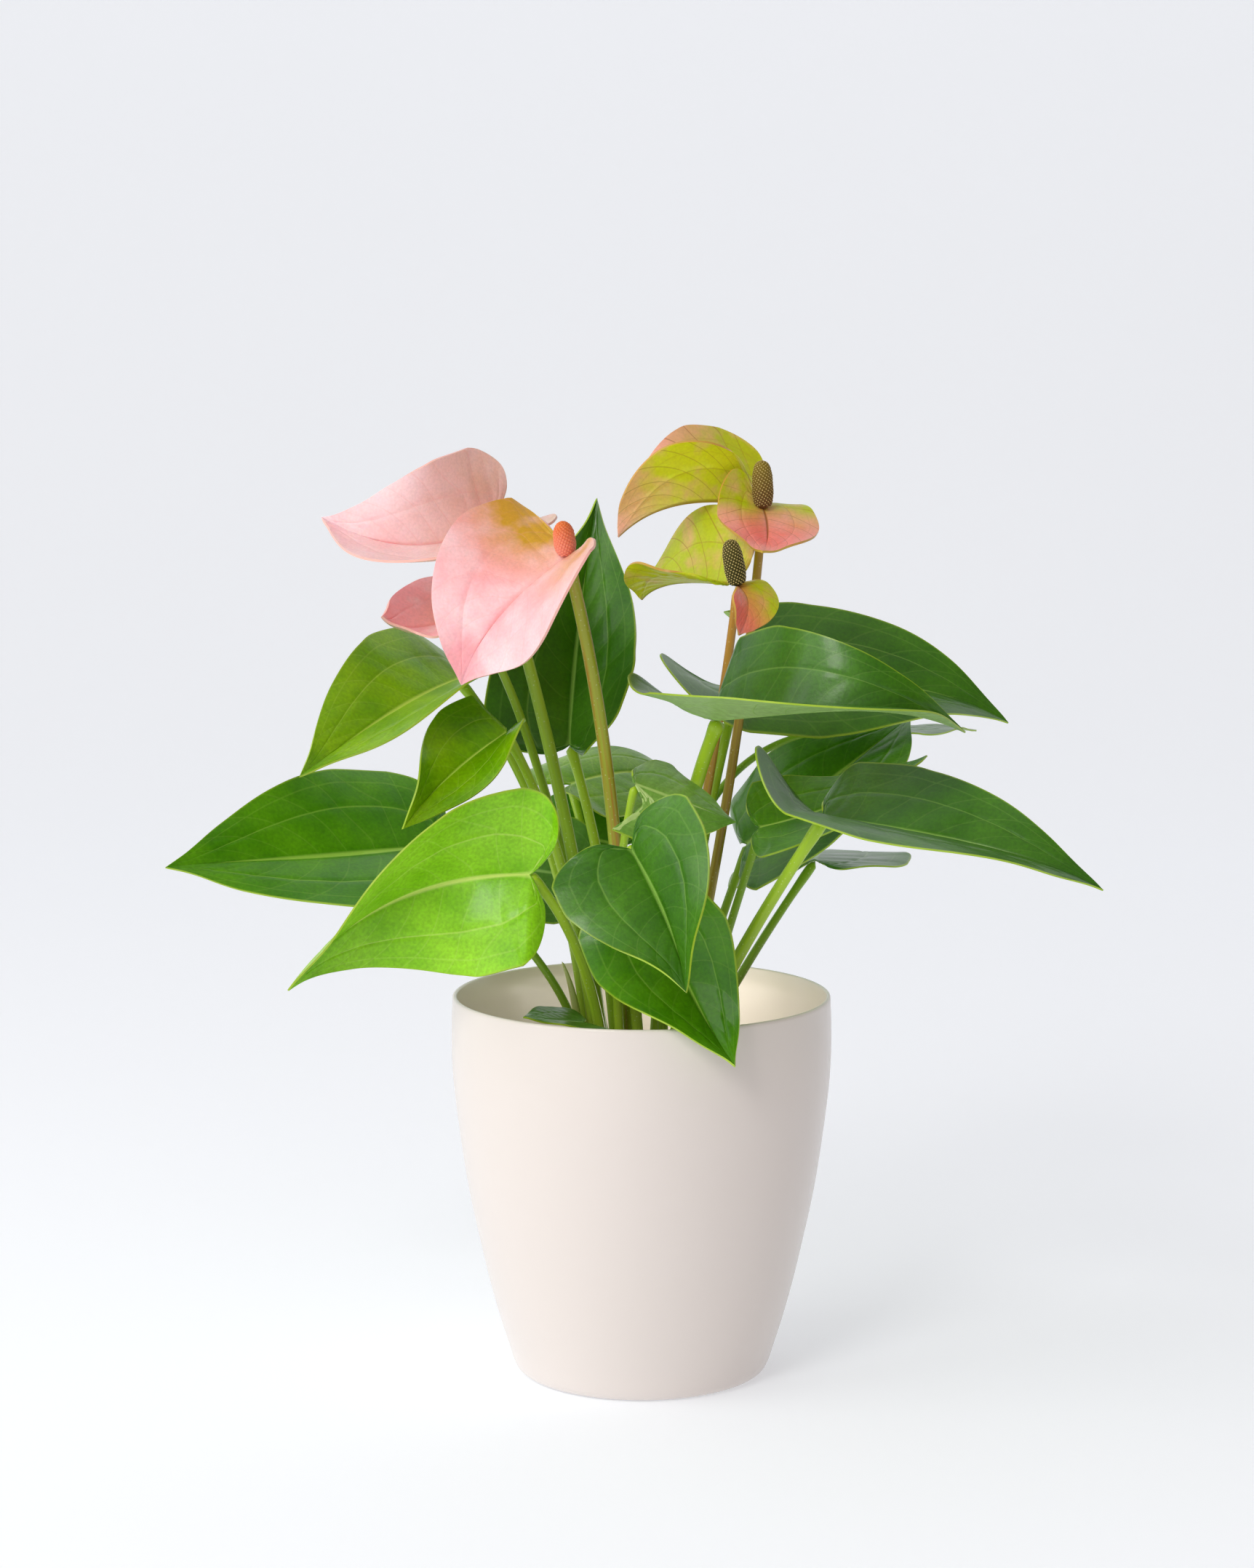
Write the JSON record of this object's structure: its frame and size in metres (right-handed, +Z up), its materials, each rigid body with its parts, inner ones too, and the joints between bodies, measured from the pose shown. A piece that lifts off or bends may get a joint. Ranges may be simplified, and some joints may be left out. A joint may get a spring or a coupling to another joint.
{
  "type": "potted anthurium",
  "caption": "Potted anthurium with glossy heart-shaped leaves, pink and green-pink spathes on tall stalks, and a plain tapered glossy cover pot",
  "frame": {"origin": "centre of the cover pot's flat base, on its lower face", "axes": "+Z up along the pot's axis, -Y toward the side that the front flower faces, +X to that viewer's right"},
  "size_m": [0.3064, 0.2003, 0.3263],
  "materials": {
    "cover_pot": "smooth satin gloss, warm white",
    "nursery_pot": "matte black",
    "potting_mix": "rough dark chips",
    "crown": "rough brown, fibrous",
    "sheath": "pale green, papery",
    "leaf": "glossy green with paler veins and margin",
    "petiole": "satin yellow green",
    "peduncle": "satin olive green, reddish on one side",
    "spathe_pink": "satin pale pink, greenish at the base",
    "spathe_bicolour": "satin green to pink with dark veins",
    "spadix_orange": "matte, finely bumped, orange to pink",
    "spadix_brown": "matte, finely bumped, olive brown with pale dots"
  },
  "bodies": {
    "root": {"cover_pot": "cover_pot", "nursery_pot": "nursery_pot", "potting_mix": "potting_mix", "crown": "crown", "sheath": "sheath", "leaf_01": "leaf", "petiole_01": "petiole", "leaf_02": "leaf", "petiole_02": "petiole", "leaf_03": "leaf", "petiole_03": "petiole", "leaf_04": "leaf", "petiole_04": "petiole", "leaf_05": "leaf", "petiole_05": "petiole", "leaf_06": "leaf", "petiole_06": "petiole", "leaf_07": "leaf", "petiole_07": "petiole", "leaf_08": "leaf", "petiole_08": "petiole", "leaf_09": "leaf", "petiole_09": "petiole", "leaf_10": "leaf", "petiole_10": "petiole", "leaf_11": "leaf", "petiole_11": "petiole", "leaf_12": "leaf", "petiole_12": "petiole", "leaf_13": "leaf", "petiole_13": "petiole", "leaf_14": "leaf", "petiole_14": "petiole", "leaf_15": "leaf", "petiole_15": "petiole", "leaf_16": "leaf", "petiole_16": "petiole", "leaf_17": "leaf", "petiole_17": "petiole", "leaf_18": "leaf", "petiole_18": "petiole", "leaf_19": "leaf", "petiole_19": "petiole", "spathe_1": "spathe_pink", "spathe_2": "spathe_pink", "spathe_3": "spathe_pink", "spathe_4_main": "spathe_bicolour", "spathe_4_second": "spathe_bicolour", "spathe_5_main": "spathe_bicolour", "spathe_5_second": "spathe_bicolour", "peduncle_1": "peduncle", "peduncle_2": "peduncle", "peduncle_3": "peduncle", "peduncle_4": "peduncle", "peduncle_5": "peduncle", "spadix_1": "spadix_orange", "spadix_2": "spadix_orange", "spadix_3": "spadix_orange", "spadix_4": "spadix_brown", "spadix_5": "spadix_brown"}
  },
  "joints": []
}
